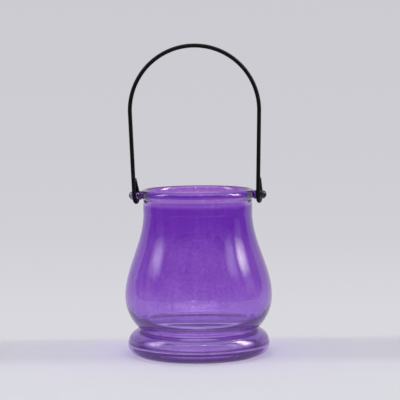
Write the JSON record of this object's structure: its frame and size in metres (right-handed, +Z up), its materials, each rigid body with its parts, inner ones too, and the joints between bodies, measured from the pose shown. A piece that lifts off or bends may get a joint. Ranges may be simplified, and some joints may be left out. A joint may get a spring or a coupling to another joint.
{
  "type": "glass candle lantern with wire handle",
  "caption": "Small footed glass candle jar with a rolled rim, ball lugs and a swinging wire bail handle, to stand on a table or hang up.",
  "frame": {"origin": "centre of the base, on the surface that the lantern stands on", "axes": "+Z up through the mouth; X runs through the two lugs, which is the handle's hinge line; the handle stands upright at rest"},
  "size_m": [0.0786, 0.0786, 0.1652],
  "materials": {
    "purple_glass": "glossy",
    "black_wire": "satin"
  },
  "bodies": {
    "jar": {"glass_jar": "purple_glass"},
    "handle": {"wire_handle": "black_wire"}
  },
  "joints": [
    {"name": "handle_swing", "type": "hinge", "parent": "jar", "child": "handle", "pos_m": [0, 0, 0.0851], "axis": [1, 0, 0], "range_deg": [-154, 148]}
  ]
}
